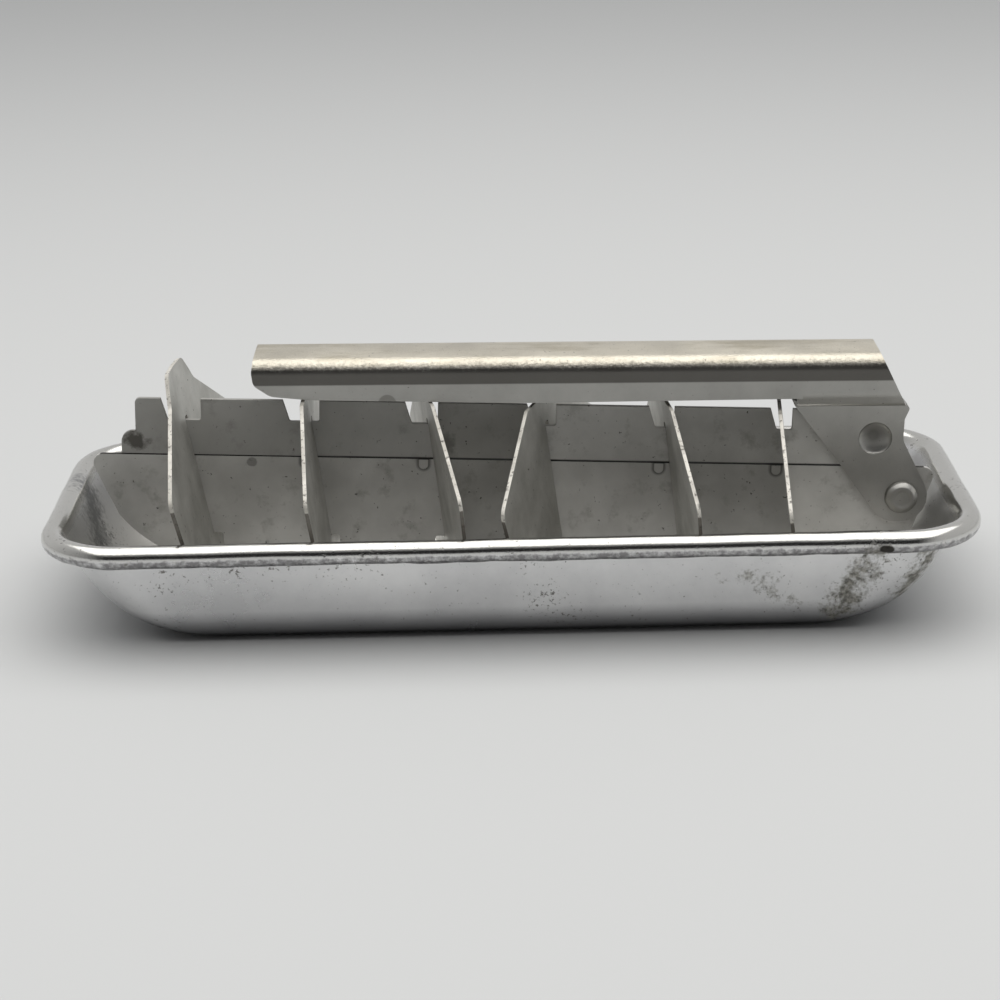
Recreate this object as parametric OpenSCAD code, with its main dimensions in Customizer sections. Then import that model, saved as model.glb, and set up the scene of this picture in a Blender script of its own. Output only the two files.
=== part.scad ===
// Lever ice cube tray: a drawn pan, a divider grid that stands in it, and a
// lever that slides the grid's upper plate so that its six cross fins tip over
// and break the ice free.  X runs along the tray with the lever's pivot at +X,
// -Y is the side seen first, and Z = 0 is the surface that the pan stands on.

/* [Pan] */
// Length over the rolled rim
pan_l = 286; // [238:1:344]
// Width over the rolled rim
pan_w = 112.7; // [94:0.1:136]
// Height from the table to the top of the rim
pan_h = 36; // [32:1:44]
// Thickness of the drawn sheet
pan_t = 0.8; // [0.6:0.1:1.2]
// Outer radius of the rolled rim's section
bead_r = 3.5; // [2.8:0.1:4.2]
// Plan radius of the corners at the middle of the rolled rim
rim_corner_r = 22.5; // [18:0.5:27]
// Plan radius of the corners at the floor
floor_corner_r = 14; // [10:0.5:18]
// Lean of the long walls from upright, in degrees
side_draft = 13.4; // [8:0.1:16]
// Radius between the floor and a long wall
side_root_r = 12; // [9:0.5:14]
// Lean of the end walls from upright, in degrees
end_draft = 25.6; // [20:0.1:28]
// Radius between the floor and an end wall
end_root_r = 42.5; // [34:0.5:45]

/* [Divider plates] */
// Thickness of the two centre plates
plate_t = 1.5; // [1:0.1:1.8]
// Height of the split between the plates over the rim, grid fully home
split_rise = 0.8; // [0:0.1:4]
// Height of the sliding upper plate
slide_h = 18.1; // [17:0.1:22]
// Gap between the lower plate and the sliding plate above it
running_gap = 0.4; // [0.2:0.05:0.6]
// Play between the lower plate and each end wall, grid fully home
end_play = 1.2; // [0.8:0.1:2]
// Lean of the lower plate's free left end from upright, in degrees
left_end_lean = 25; // [20:0.5:27]
// Lean of the lower plate's lever end from upright, in degrees
lever_end_lean = 18; // [15:0.5:24]
// Length of the left end cell, from the plate's corner to the first fin's foot
first_bay = 38.8; // [36:0.1:44]
// Length from the last fin's foot to the lever's pivot
lever_bay = 32.5; // [30:0.1:38]
// Reach of the sliding plate past the first fin's foot
slide_tail = 23.6; // [20:0.1:28]
// Reach of the sliding plate past the drive bosses
slide_nose = 7.8; // [6.5:0.1:8.5]
// Depth of the sliding plate's open notches
notch_d = 6.8; // [5.6:0.1:8.4]
// Width of the floor of the narrowest notch, the one nearest the lever
notch_w = 4.8; // [4.4:0.1:5.4]
// Extra width of each notch over the next one towards the lever
notch_step = 1.12; // [0.9:0.02:1.2]
// Depth of the lower plate's foot notches' roofs below the split
foot_d = 25.5; // [22:0.1:28]

/* [Fins] */
// Thickness of a fin
fin_t = 1.2; // [0.8:0.1:1.4]
// Height of a fin's top edge over the split, measured along the fin
fin_top = 22; // [20.8:0.1:22.2]
// Width of a fin's level top edge
crown_w = 31; // [26:0.5:36]
// Height of a fin's shoulders over the split
shoulder_rise = 1; // [0:0.1:3]
// Gap between a fin's side and the long wall, grid fully home
fin_fit = 0.35; // [0.3:0.05:0.8]
// Width of the upright slot that the two centre plates pass through
window_w = 3.2; // [3:0.1:4]
// Rise of the first fin's finger tab over its top edge
tab_rise = 8; // [5:0.5:9]
// Width of the finger tab's top
tab_w = 20; // [16:0.5:24]

/* [Lever] */
// Length from the pivot to the lever's free end
lever_reach = 203.9; // [180:0.1:215]
// Width of the handle
handle_w = 24; // [20:0.5:28]
// Thickness of the lever's sheet
lever_t = 1.25; // [1:0.05:1.4]
// Radius of the bends between the handle's back and its side skirts
back_bend_r = 4.7; // [4:0.1:6]
// Fall of the handle's slightly crowned back from its middle to those bends
crown_fall = 0.4; // [0.3:0.1:1.2]
// Slope of the handle's back against the split, in degrees
handle_slope = 1.55; // [1:0.05:2]
// Gap between a centre plate and each ear
ear_gap = 0.35; // [0.3:0.05:0.5]
// Radius of the ears' round ends about the pivot
ear_end_r = 8.2; // [7.4:0.1:8.6]
// Drop of the pivot's centre below the split
pivot_drop = 9.4; // [9:0.1:11]
// Distance of the pivot from the lower plate's upper corner at the lever end
pivot_inset = 11; // [10:0.1:14]
// Diameter of the pivot rivet's shank
shank_d = 5; // [4:0.1:5.6]
// Diameter of the pivot rivet's domed heads
head_d = 10.6; // [9:0.1:12]
// Height of a domed head
head_h = 2.4; // [1.6:0.1:2.8]
// Diameter of the bosses that drive the sliding plate
boss_d = 7.6; // [7:0.1:8]
// Diameter of the pressed dimples behind the bosses
dimple_d = 10.6; // [9.5:0.1:11.4]
// Distance of the drive bosses from the pivot
drive_r = 21.4; // [20:0.1:22]
// Lean of the line from the pivot to the bosses, lever shut, in degrees
drive_lean = 26.3; // [24:0.1:28]
// Swing of the lever from shut to open, in degrees
lever_swing = 46; // [40:1:46]

/* [Rest position] */
// Tip of the grid in the pan, lever end down, in degrees
grid_tip = 2.26; // [1.6:0.02:2.6]
// Height of the resting grid's lever end over its fully home place
lever_end_rise = 1.54; // [1.5:0.02:3]
// Shift of the resting grid towards the lever end
grid_shift = 2.7; // [2:0.1:2.8]

/* [Hidden] */
$fn = 48;

aluminium = "#a6a6a2";
bright_aluminium = "#c4c3bd";
champagne_aluminium = "#bfb9a6";

// How each fin lies at rest, in degrees: its lean to the left of the grid's
// upright, the turn of its near half to the left, and the bend at its middle
// that turns its far half further to the right.
fin_lean = [12.6, 9.2, 8.7, 9.8, 8.1, 9.3];
fin_yaw = [1.5, 0, -10, 18.5, -5.7, 4.8];
fin_bend = [6.5, 0, 0, 0, 0, 0];
fin_count = len(fin_lean);
widest_yaw = max([for (yaw = fin_yaw) abs(yaw)]);
widest_lean = max(fin_lean);
arc_steps = 6;

// ---------------------------------------------------------------- outlines

function unit(v) = v / norm(v);

// The points of one rounded corner q between its neighbours p and r.
function corner(p, q, r, radius) =
    radius == 0 ? [q] :
    let (u = unit(p - q), v = unit(r - q), half = acos(u * v) / 2)
    let (centre = q + unit(u + v) * radius / sin(half))
    let (start = q + u * radius / tan(half) - centre)
    let (turn = (u[0] * v[1] - u[1] * v[0] > 0 ? -1 : 1) * (180 - 2 * half))
    [for (i = [0 : arc_steps]) let (a = turn * i / arc_steps)
        centre + [start[0] * cos(a) - start[1] * sin(a), start[0] * sin(a) + start[1] * cos(a)]];

// A closed outline from its sharp corners, each given as [x, y, radius].
function rounded(corners) =
    let (n = len(corners), at = function (i) [corners[i % n][0], corners[i % n][1]])
    [for (i = [0 : n - 1]) each corner(at(i + n - 1), at(i), at(i + 1), corners[i][2])];

// A flat sheet of the given thickness, standing along X with its outline in X and Z.
module upright_sheet(thickness) {
    rotate([90, 0, 0])
        linear_extrude(thickness, center = true)
            children();
}

// --------------------------------------------------------------------- pan

bead_z = pan_h - bead_r;
rim_start = 157.5;
rim_end = -135;
lip_z = bead_z + bead_r * sin(rim_start);

// Half the pan's size at height z, for the face that lies inset from the
// outer one: a straight leaning wall that runs into a round root.
function wall_at(z, overall, draft, root_r, inset) =
    let (lip = overall / 2 - bead_r + bead_r * cos(rim_start) + pan_t / cos(draft))
    let (straight = function (h) lip - (lip_z - h) * tan(draft))
    let (root_x = straight(root_r) - root_r / cos(draft))
    z >= root_r - (root_r - inset) * sin(draft)
        ? straight(z) - inset / cos(draft)
        : root_x + sqrt(max(0, pow(root_r - inset, 2) - pow(root_r - z, 2)));

// Where the end wall's round root has its centre along X.
function end_root_x() = wall_at(0, pan_l, end_draft, end_root_r, 0);

function half_length(z, inset) = wall_at(z, pan_l, end_draft, end_root_r, inset);
function half_width(z, inset) = wall_at(z, pan_w, side_draft, side_root_r, inset);

// One ring of points round the pan: a rectangle with round corners.
ring_steps = 8;
function ring(length, width, radius, z) =
    [for (quarter = [0 : 3], i = [0 : ring_steps])
        let (a = 90 * (quarter + i / ring_steps))
        let (sx = quarter == 0 || quarter == 3 ? 1 : -1, sy = quarter < 2 ? 1 : -1)
        [sx * (length - radius) + radius * cos(a), sy * (width - radius) + radius * sin(a), z]];

function wall_ring(z, inset) =
    let (lip_r = rim_corner_r + bead_r * cos(rim_start) + pan_t)
    let (radius = floor_corner_r + (lip_r - floor_corner_r) * z / lip_z - inset)
    ring(half_length(z, inset), half_width(z, inset), radius, z);

function bead_ring(angle, inset) =
    let (r = bead_r - inset)
    ring(pan_l / 2 - bead_r + r * cos(angle), pan_w / 2 - bead_r + r * cos(angle),
         rim_corner_r + r * cos(angle), bead_z + r * sin(angle));

// Heights of the wall's rings: close together in the round root, then wider.
root_top = side_root_r * (1 - sin(side_draft));
root_rings = 5;
wall_rings = 4;
function ring_heights(inset) =
    concat([for (i = [0 : root_rings]) inset + (root_top - inset) * pow(i / root_rings, 2)],
           [for (i = [1 : wall_rings]) root_top + (lip_z - bead_r - root_top) * i / wall_rings]);
inner_heights = ring_heights(pan_t);
outer_heights = ring_heights(0);

bead_steps = 13;
pan_rings = concat(
    [for (z = inner_heights) wall_ring(z, pan_t)],
    [for (i = [0 : bead_steps]) bead_ring(rim_start + (rim_end - rim_start) * i / bead_steps, 0)],
    [for (i = [bead_steps : -1 : 1])
        bead_ring(rim_start + (rim_end - rim_start) * i / bead_steps, pan_t)],
    [for (i = [len(outer_heights) - 1 : -1 : 0]) wall_ring(outer_heights[i], 0)]);

// The pan is one drawn sheet: floor, leaning walls and a rim rolled outwards.
module pan() {
    n = 4 * (ring_steps + 1);
    count = len(pan_rings);
    sides = [for (k = [0 : count - 2], i = [0 : n - 1])
        let (j = (i + 1) % n)
        each [[k * n + i, (k + 1) * n + j, k * n + j],
              [k * n + i, (k + 1) * n + i, (k + 1) * n + j]]];
    floor_face = [for (i = [0 : n - 1]) i];
    base_face = [for (i = [n - 1 : -1 : 0]) (count - 1) * n + i];
    color(aluminium)
        polyhedron([for (r = pan_rings) each r], concat([floor_face], sides, [base_face]));
}

// -------------------------------------------------------------------- grid

home_z = pan_h + split_rise;
lower_d = home_z - pan_t;
gauge_drop = 20;
gauge_half = half_length(home_z - gauge_drop, pan_t) - end_play;
grid_rise = lever_end_rise + gauge_half * sin(grid_tip);
root_half = end_root_x() - end_play;
root_r = end_root_r - pan_t;

// The lower plate's two upper corners, its pivot, and the feet of the fins.
left_corner = grid_shift - gauge_half - gauge_drop * tan(left_end_lean);
lever_corner = grid_shift + gauge_half + gauge_drop * tan(lever_end_lean);
pivot = [lever_corner - pivot_inset, -pivot_drop];
boss = pivot + drive_r * [-sin(drive_lean), cos(drive_lean)];
first_foot = left_corner + first_bay;
last_foot = pivot[0] - lever_bay;
fin_pitch = (last_foot - first_foot) / (fin_count - 1);
function foot(k) = first_foot + fin_pitch * k;

// Travel of the sliding plate over the lever's swing, and the rise of the
// bosses in their slot on the way.
slide_travel = drive_r * (sin(lever_swing - drive_lean) + sin(drive_lean));
boss_rise = drive_r * (1 - cos(drive_lean));

// Room that a turned fin takes along a centre plate, to each side of its middle.
fin_half_room = (fin_t / cos(widest_yaw) + plate_t * tan(widest_yaw)) / 2;
notch_floor = running_gap + slide_h - notch_d;
notch_reach = 3.1;
notch_slant = 17.5;
push_arm = foot_d + notch_floor;
function floor_w(k) = notch_w + notch_step * (fin_count - 1 - k);

// The lean to the right of the upright that notch k leaves its fin with.  The
// narrow notches reach their fins first, so the fins tip one after another.
function final_lean(k) =
    atan((slide_travel - notch_reach - floor_w(k) + fin_half_room + running_gap) / push_arm);
widest_final = final_lean(fin_count - 1);

// Puts a piece drawn about the split line where the grid rests in the pan.
module seated_grid() {
    translate([0, 0, home_z + grid_rise])
        rotate([0, grid_tip, 0])
            children();
}

lower_corner_r = 3;
foot_half_w = 3.3;
lug_r = 1.6;
lug_proud = 0.5;
lug_offset = 7.4;
lug_h = 3.3;
foot_room = fin_half_room + running_gap;
foot_bar = lower_d - foot_d;

// A foot notch, open downwards, wide enough for the fin's foot to swing in.
module foot_notch() {
    swing_left = foot_bar * tan(widest_final) + foot_room;
    swing_right = foot_bar * tan(widest_lean) + foot_room;
    polygon(rounded([[-foot_half_w, 0, 0.8], [foot_half_w, 0, 0.8],
                     [swing_right, -foot_bar - 1, 0], [-swing_left, -foot_bar - 1, 0]]));
}

module lower_plate_outline() {
    left_foot = left_corner + lower_d * tan(left_end_lean);
    lever_foot = lever_corner - lower_d * tan(lever_end_lean);
    intersection() {
        polygon(rounded([[left_corner, 0, lower_corner_r], [left_foot, -lower_d, 0],
                         [lever_foot, -lower_d, 0], [lever_corner, 0, lower_corner_r]]));
        union() {
            translate([grid_shift - root_half, -lower_d])
                square([2 * root_half, lower_d]);
            for (end = [-1, 1])
                translate([grid_shift + end * root_half, root_r - lower_d])
                    circle(root_r, $fn = 120);
        }
    }
}

// The lower divider plate stands on the pan's floor and carries the pivot.
module lower_divider_plate() {
    color(aluminium) seated_grid() difference() {
        union() {
            upright_sheet(plate_t) lower_plate_outline();
            for (k = [0 : fin_count - 1])
                translate([foot(k) - lug_offset, 0, 0])
                    pressed_lug();
        }
        for (k = [0 : fin_count - 1])
            upright_sheet(2 * plate_t)
                translate([foot(k), -foot_d]) foot_notch();
        translate([pivot[0], 0, pivot[1]])
            rotate([90, 0, 0]) cylinder(d = shank_d, h = 2 * plate_t, center = true);
    }
}

// A lug pressed out of the lower plate's edge under each notch: straight sides
// over a half-round end.
module pressed_lug() {
    upright_sheet(plate_t + 2 * lug_proud)
        translate([0, lug_r - lug_h]) {
            circle(lug_r, $fn = 24);
            translate([-lug_r, 0]) square([2 * lug_r, lug_h - lug_r]);
        }
}

slot_fit = 0.5;
slide_corner_r = 1.6;
floor_r = 0.6;
nose_r = 3;
step_w = 4.5;
step_h = 7.4;
step_r = 3.6;
burr_r = 0.5;

// An open notch in the sliding plate's top edge: upright on the lever's side,
// leaning on the other, with room for one fin to tip.
module top_notch(k) {
    over_d = notch_d + 1;
    left = -notch_reach - floor_w(k);
    polygon(rounded([[-notch_reach, notch_floor + over_d, 0],
                     [-notch_reach, notch_floor, floor_r],
                     [left, notch_floor, floor_r],
                     [left - over_d * tan(notch_slant), notch_floor + over_d, 0]]));
}

// The sliding divider plate runs along the lower plate's top edge.
module sliding_divider_plate() {
    tail = first_foot - slide_tail;
    nose = boss[0] + slide_nose;
    top = running_gap + slide_h;
    slot_r = boss_d / 2 + slot_fit;
    color(aluminium) seated_grid() upright_sheet(plate_t) difference() {
        polygon(rounded([[tail - step_w, running_gap, burr_r], [nose, running_gap, nose_r],
                         [nose, top, slide_corner_r], [tail, top, slide_corner_r],
                         [tail, running_gap + step_h, burr_r],
                         [tail - step_w, running_gap + step_h, step_r]]));
        for (k = [0 : fin_count - 1])
            translate([foot(k), 0]) top_notch(k);
        translate(boss) {
            circle(slot_r);
            translate([-slot_r, 0]) square([2 * slot_r, boss_rise]);
            translate([0, boss_rise]) circle(slot_r);
        }
    }
}

// --------------------------------------------------------------------- fins

// A fin's slot clears the foot notch's roof and the sliding plate's notch floor
// at the furthest that the fin leans.
slot_gap = 0.25;
furthest_lean = max(widest_final, widest_lean);
slot_foot = (slot_gap + fin_half_room * sin(furthest_lean)) / cos(furthest_lean);
slot_top = (push_arm + slot_gap + fin_half_room * sin(furthest_lean)) / cos(furthest_lean);
crown_h = foot_d + fin_top;
crown_r = 1.2;
shoulder_r = 4;
tab_r = 4;
tab_flare = 4.5;
tab_flare_h = tab_rise / 3;
tab_foot_r = 4;
tab_foot_w = tab_w / 2 + 7;

// A fin's outline from its middle, which is level with the notch's roof: a
// level top or a finger tab, sloping shoulders, sides that follow the pan and
// round lower corners.
module fin_outline(has_tab) {
    shoulder_h = foot_d + shoulder_rise;
    shoulder = half_width(bead_z, pan_t) - fin_fit
        + (home_z + shoulder_rise - bead_z) * tan(side_draft);
    low_half = shoulder - (shoulder_h + foot_bar) * tan(side_draft);
    slope = (crown_h - shoulder_h) / (shoulder - crown_w / 2);
    crown = has_tab
        ? [[tab_foot_w, crown_h - slope * (tab_foot_w - crown_w / 2), tab_foot_r],
           [tab_w / 2 + tab_flare, crown_h + tab_flare_h, crown_r],
           [tab_w / 2, crown_h + tab_rise, tab_r]]
        : [[crown_w / 2, crown_h, crown_r]];
    side = concat([[low_half, -foot_bar, side_root_r + fin_fit],
                   [shoulder, shoulder_h, shoulder_r]], crown);
    other_side = [for (i = [len(side) - 1 : -1 : 0]) [-side[i][0], side[i][1], side[i][2]]];
    polygon(rounded(concat(side, other_side)));
}

// The fin's sheet seen along its height: bent at the middle, or straight.
module bent_strip(bend) {
    across = function (angle) [-sin(angle), cos(angle)] * fin_t / 2;
    mitre = across(bend / 2) / cos(bend / 2);
    far_end = pan_w * [cos(bend), sin(bend)];
    polygon([[-pan_w, -fin_t / 2], -mitre, far_end - across(bend),
             far_end + across(bend), mitre, [-pan_w, fin_t / 2]]);
}

// One cross fin: it hangs on both centre plates by its slot, stands in a foot
// notch of the lower plate and tips in a notch of the sliding plate.
module cross_fin(k) {
    color(bright_aluminium) seated_grid()
        translate([foot(k), 0, -foot_d])
            rotate([0, -fin_lean[k], 0])
                rotate([90, 0, 90 - fin_yaw[k]])
                    intersection() {
                        linear_extrude(pan_w, center = true) difference() {
                            fin_outline(k == 0);
                            window_outline();
                        }
                        rotate([90, 0, 0])
                            linear_extrude(4 * crown_h, center = true) bent_strip(fin_bend[k]);
                    }
}

// The upright slot in a fin, round-cornered at its top.
module window_outline() {
    polygon(rounded([[-window_w / 2, -slot_foot, 0], [window_w / 2, -slot_foot, 0],
                     [window_w / 2, slot_top, floor_r], [-window_w / 2, slot_top, floor_r]]));
}

// -------------------------------------------------------------------- lever

ear_in = plate_t / 2 + ear_gap;
ear_out = ear_in + lever_t;
crest_z = 36.6;
back_drop = crown_fall + back_bend_r;
joggle_drop = 16.7;
joggle_fall = 1.7;
joggle_r = 1.8;
joggle_lead = 3.9;
joggle_in = 1;
inner_r = 0.6;
fold_top = crest_z - joggle_drop + joggle_lead + 4;
ear_left = pivot[0] - 35.9;
skirt_floor = 22.3;
over_top = crest_z + 12;
swing_fit = 0.1;
deep = pan_h + 30;

// Half of the back's outline, at the face that lies inset from the outer one:
// a slight crown from the middle, then the bend down to the skirt.
function back(inset) =
    let (flat_half = handle_w / 2 - back_bend_r)
    let (turn = 2 * atan(crown_fall / flat_half))
    let (centre_r = flat_half / sin(turn), crown_r = centre_r + back_bend_r)
    concat([for (i = [0 : arc_steps - 1]) let (a = turn * i / arc_steps)
                [(crown_r - inset) * sin(a), (crown_r - inset) * cos(a) - crown_r]],
           [for (i = [0 : 2 * arc_steps]) let (a = turn + (90 - turn) * i / (2 * arc_steps))
                [flat_half, centre_r * cos(turn) - crown_r]
                + (back_bend_r - inset) * [sin(a), cos(a)]]);

function mirrored(points) = [for (i = [len(points) - 1 : -1 : 0]) [-points[i][0], points[i][1]]];

// The handle's section: a nearly flat back with a straight skirt at each side.
module channel_section() {
    outer = concat(back(0), [[handle_w / 2, -deep]]);
    inner = concat(back(lever_t), [[handle_w / 2 - lever_t, -deep - 1]]);
    difference() {
        polygon(concat(mirrored(outer), outer));
        polygon(concat(mirrored(inner), inner));
    }
}

// One side of the ear's section: the skirt leans in a little, then folds in to
// the centre plate and turns down again.
module ear_section() {
    skirt = handle_w / 2;
    top = -back_drop - 1;
    lead = -joggle_drop + joggle_lead;
    lead_r = 8;
    foot = -joggle_drop - joggle_fall;
    polygon(rounded([[skirt - lever_t, top, 0], [skirt, top, 0], [skirt, lead, lead_r],
                     [skirt - joggle_in, -joggle_drop, joggle_r], [ear_out, foot, inner_r],
                     [ear_out, -deep, 0], [ear_in, -deep, 0],
                     [ear_in, foot + lever_t, inner_r + lever_t],
                     [skirt - joggle_in - lever_t, -joggle_drop + lever_t, joggle_r - lever_t],
                     [skirt - lever_t, lead, lead_r]]));
}

// Runs a section along the handle's sloping back.
module along_handle(from, to) {
    rotate([0, -handle_slope, 0])
        translate([from, 0, crest_z])
            rotate([90, 0, 90])
                linear_extrude(to - from)
                    children();
}

// The handle seen from the side: a rounded free end and a gently bowed skirt.
module handle_side() {
    free_end = pivot[0] - lever_reach;
    end_top = [free_end + 2.2, over_top, 0];
    end_bulge = [free_end, skirt_floor + 8, 5];
    end_heel = [free_end + 0.6, skirt_floor + 4, 3];
    end_foot = [free_end + 5.9, skirt_floor + 0.6, 6];
    skirt_low = [free_end + 18, skirt_floor - 0.25, 40];
    skirt_bow = [pivot[0] - 121, skirt_floor, 60];
    skirt_end = [ear_left + 1.5, skirt_floor + 2.9, 0];
    ear_top = [ear_left + 1.5, over_top, 0];
    polygon(rounded([end_top, end_bulge, end_heel, end_foot, skirt_low, skirt_bow,
                     skirt_end, ear_top]));
}

// The lever's end seen from the side: the slanting cut of the handle, the
// flank behind the dimples, the round end about the pivot and the long edge.
module ear_side() {
    x = pivot[0];
    z = pivot[1];
    flank_top = [ear_left, z + 30.1, 3];
    flank_bend = [x - 20.2, z + 10.7, 14];
    heel = [x - 6.2, z - ear_end_r, 9];
    toe = [x + 13.7, z - ear_end_r, ear_end_r];
    throat = [x - 0.7, z + 18.7, 5];
    neck = [x - 0.7, z + 25.6, 2];
    knuckle = [x + 0.7, z + 29.2, 1.2];
    cut_foot = [x - 2.4, z + 32.9, 0];
    cut_top = [x - 15.7, over_top, 0];
    polygon(rounded([[ear_left, over_top, 0], flank_top, flank_bend, heel, toe, throat, neck,
                     knuckle, cut_foot, cut_top]));
}

// A drive boss: a cup pressed inwards from the ear into the plate's slot.
module boss_stub() {
    meet_gap = 0.15;
    translate([0, 0, meet_gap]) cylinder(d = boss_d, h = ear_in + lever_t / 2 - meet_gap);
}

// The round bowl that the press leaves in the ear's outside behind a boss.
module dimple() {
    depth = 1.4;
    bowl = [for (i = [0 : arc_steps]) let (a = 90 * i / arc_steps)
        [dimple_d / 2 * sin(a), ear_out - depth * cos(a)]];
    rotate_extrude()
        polygon(concat(bowl, [[dimple_d / 2, ear_out + 1], [0, ear_out + 1]]));
}

// The lever is one pressed sheet: handle, two ears and the drive bosses.
module lever() {
    color(champagne_aluminium) seated_grid() difference() {
        union() {
            intersection() {
                along_handle(-deep * 4, deep * 4) channel_section();
                union() {
                    upright_sheet(2 * handle_w) handle_side();
                    upright_sheet(2 * handle_w) intersection() {
                        ear_side();
                        translate([0, fold_top]) square(2 * lever_reach);
                    }
                }
            }
            intersection() {
                along_handle(0, deep * 4)
                    for (side = [0, 1]) mirror([side, 0]) ear_section();
                upright_sheet(2 * handle_w) ear_side();
            }
            at_boss() for (side = [0, 1]) mirror([0, 0, side]) boss_stub();
        }
        at_boss() for (side = [0, 1]) mirror([0, 0, side]) dimple();
        translate([pivot[0], 0, pivot[1]])
            rotate([90, 0, 0]) cylinder(d = shank_d + swing_fit, h = 3 * ear_out, center = true);
    }
}

module at_boss() {
    translate([boss[0], 0, boss[1]]) rotate([90, 0, 0]) children();
}

// The pivot rivet: a plain shank closed to a dome on each side of the ears.
module pivot_rivet() {
    under_head = ear_out + swing_fit;
    dome_top = under_head + head_h;
    brow = [head_d / 2 - 0.3, under_head + head_h * 0.45, 0.8];
    dish_r = 2.2;
    dish_d = 0.35;
    dish_lip = [dish_r + 1.2, dome_top, 1.6];
    head = rounded([[0, under_head, 0], [head_d / 2, under_head, 0], brow, dish_lip,
                    [dish_r, dome_top - dish_d, 0.4], [0, dome_top - dish_d, 0]]);
    color(bright_aluminium) seated_grid()
        translate([pivot[0], 0, pivot[1]]) rotate([90, 0, 0]) {
            cylinder(d = shank_d, h = 2 * under_head, center = true);
            for (side = [0, 1])
                mirror([0, 0, side]) rotate_extrude() polygon(head);
        }
}

pan();
lower_divider_plate();
sliding_divider_plate();
cross_fin(0);  // cross_fin_1
cross_fin(1);  // cross_fin_2
cross_fin(2);  // cross_fin_3
cross_fin(3);  // cross_fin_4
cross_fin(4);  // cross_fin_5
cross_fin(5);  // cross_fin_6
lever();
pivot_rivet();
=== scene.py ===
import math

import bmesh
import bpy
from mathutils import Matrix, Vector, noise


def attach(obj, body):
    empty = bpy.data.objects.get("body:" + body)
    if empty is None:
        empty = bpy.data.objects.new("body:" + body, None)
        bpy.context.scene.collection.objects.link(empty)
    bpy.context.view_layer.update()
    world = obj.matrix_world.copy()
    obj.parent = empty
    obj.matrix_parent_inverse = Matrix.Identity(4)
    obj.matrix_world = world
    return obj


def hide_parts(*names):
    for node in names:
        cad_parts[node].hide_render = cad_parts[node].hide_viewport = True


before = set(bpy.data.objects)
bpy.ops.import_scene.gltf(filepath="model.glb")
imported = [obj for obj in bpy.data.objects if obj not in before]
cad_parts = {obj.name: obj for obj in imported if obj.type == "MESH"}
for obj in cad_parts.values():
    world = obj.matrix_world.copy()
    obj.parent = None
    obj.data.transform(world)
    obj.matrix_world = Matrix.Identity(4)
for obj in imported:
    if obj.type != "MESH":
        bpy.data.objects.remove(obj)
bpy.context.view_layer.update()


# ------------------------------------------------------- table, light, camera
# The tray stands on a plain pale table under one broad soft lamp, in a room
# that is dark in front.  The camera looks 19 degrees down and is rolled a
# little.

MM = 0.001


def paint(code):
    """The linear colour of an sRGB hex value, with alpha 1."""
    shares = [int(code[i:i + 2], 16) / 255 for i in (1, 3, 5)]
    return [s / 12.92 if s <= 0.04045 else ((s + 0.055) / 1.055) ** 2.4 for s in shares] + [1]


def add(tree, kind, inputs=None, **settings):
    """Adds a shader node; an input takes a value or another node's output."""
    made = tree.nodes.new("ShaderNode" + kind)
    for name, value in settings.items():
        setattr(made, name, value)
    for name, value in (inputs or {}).items():
        if isinstance(value, bpy.types.NodeSocket):
            tree.links.new(value, made.inputs[name])
        else:
            made.inputs[name].default_value = value
    return made


def new_finish(name, **sockets):
    """A material with its surface shader; sockets are values on that shader."""
    made = bpy.data.materials.new(name)
    made.use_nodes = True
    tree = made.node_tree
    surface = tree.nodes["Principled BSDF"]
    for socket, value in sockets.items():
        surface.inputs[socket.replace("_", " ")].default_value = value
    return made, tree, surface


table = bpy.data.meshes.new("table")
shape = bmesh.new()
table_reach = 4
bmesh.ops.create_grid(shape, x_segments=1, y_segments=1, size=table_reach)
shape.to_mesh(table)
shape.free()
table_object = bpy.data.objects.new("table", table)
bpy.context.scene.collection.objects.link(table_object)

# Matt painted board: plain, with no gloss.
board, tree, surface = new_finish("matt_painted_board", Roughness=0.9)
surface.inputs["Specular IOR Level"].default_value = 0.1
surface.inputs["Base Color"].default_value = paint("#C8C9C9")
table.materials.append(board)

lamp = bpy.data.lights.new("softbox", "AREA")
lamp.shape = "RECTANGLE"
lamp.size = 2.0
lamp.size_y = 1.7
lamp.energy = 16.5
lamp.color = (1.0, 0.988, 0.965)
lamp_object = bpy.data.objects.new("softbox", lamp)
lamp_object.location = (0.1, -0.05, 1.15)
bpy.context.scene.collection.objects.link(lamp_object)

# The room: bright behind the tray and at its right, half as bright at its left,
# and dark around the camera up to the lamp's edge.
room = bpy.data.worlds.new("room")
room.use_nodes = True
bpy.context.scene.world = room
tree = room.node_tree
direction = add(tree, "TexCoord").outputs["Generated"]
parts_of = add(tree, "SeparateXYZ", {"Vector": direction})
front_to_back = add(tree, "MapRange", {"Value": parts_of.outputs["Y"], "From Min": -0.7,
                                       "From Max": 0.5}).outputs[0]
height = add(tree, "MapRange", {"Value": parts_of.outputs["Z"], "From Min": 0.5, "From Max": 0.8}).outputs[0]
right = add(tree, "MapRange", {"Value": parts_of.outputs["X"], "From Min": 0.4, "From Max": 0.75}).outputs[0]
left = add(tree, "MapRange", {"Value": parts_of.outputs["X"], "From Min": -0.4, "From Max": -0.75,
                              "To Max": 0.5}).outputs[0]
side = add(tree, "Math", {0: right, 1: left}, operation="MAXIMUM").outputs[0]
lit = add(tree, "Math", {0: height, 1: side}, operation="MAXIMUM").outputs[0]
front = add(tree, "Mix", {0: lit, 6: paint("#2A2A2B"), 7: paint("#C4C4C4")}, data_type="RGBA").outputs[2]
shade = add(tree, "Mix", {0: front_to_back, 6: front, 7: paint("#D1D1D1")}, data_type="RGBA").outputs[2]
tree.links.new(shade, tree.nodes["Background"].inputs["Color"])
tree.nodes["Background"].inputs["Strength"].default_value = 1.0

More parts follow.
